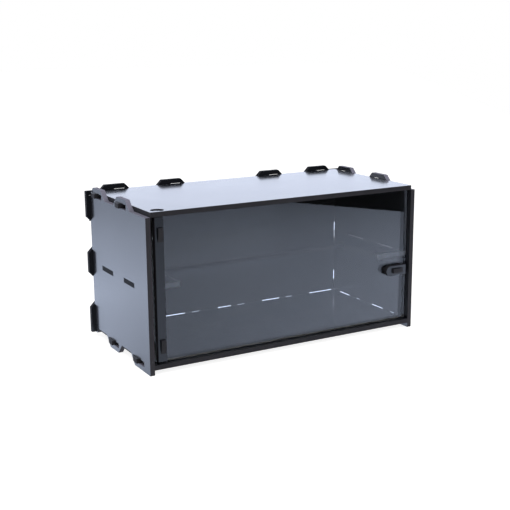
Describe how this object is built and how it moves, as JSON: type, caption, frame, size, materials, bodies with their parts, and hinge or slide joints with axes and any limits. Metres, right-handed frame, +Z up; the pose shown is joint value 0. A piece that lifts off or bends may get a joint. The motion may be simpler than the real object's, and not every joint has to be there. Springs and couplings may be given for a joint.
{
  "type": "display case",
  "caption": "Small stackable display case of black hooked boards, with a clear hinged door and a clear cut-out shelf.",
  "frame": {"origin": "on the ground under the middle of the case's overall box", "axes": "+Z up; the door faces -Y; +X runs from the hinge side to the latch side"},
  "size_m": [0.1956, 0.0948, 0.0996],
  "materials": {
    "black_board": "black satin laminate on fibreboard, cut edges dark brown",
    "door_board": "black satin laminate on fibreboard, cut edges dark brown",
    "pivot_pin": "smooth satin black",
    "clear_shelf": "clear polished sheet",
    "clear_door": "clear polished sheet"
  },
  "bodies": {
    "case": {"left_side_panel": "black_board", "right_side_panel": "black_board", "top_panel": "black_board", "bottom_panel": "black_board", "back_panel": "black_board", "shelf": "clear_shelf"},
    "door": {"door_pane": "clear_door", "hinge_stile": "door_board", "hinge_spine": "door_board", "upper_pivot": "pivot_pin", "lower_pivot": "pivot_pin", "latch_plate": "door_board", "latch_tongue": "door_board"}
  },
  "joints": [
    {"name": "door_hinge", "type": "hinge", "parent": "case", "child": "door", "pos_m": [-0.08585, -0.04145, 0.048], "axis": [0, 0, -1], "range_deg": [0, 130]}
  ]
}
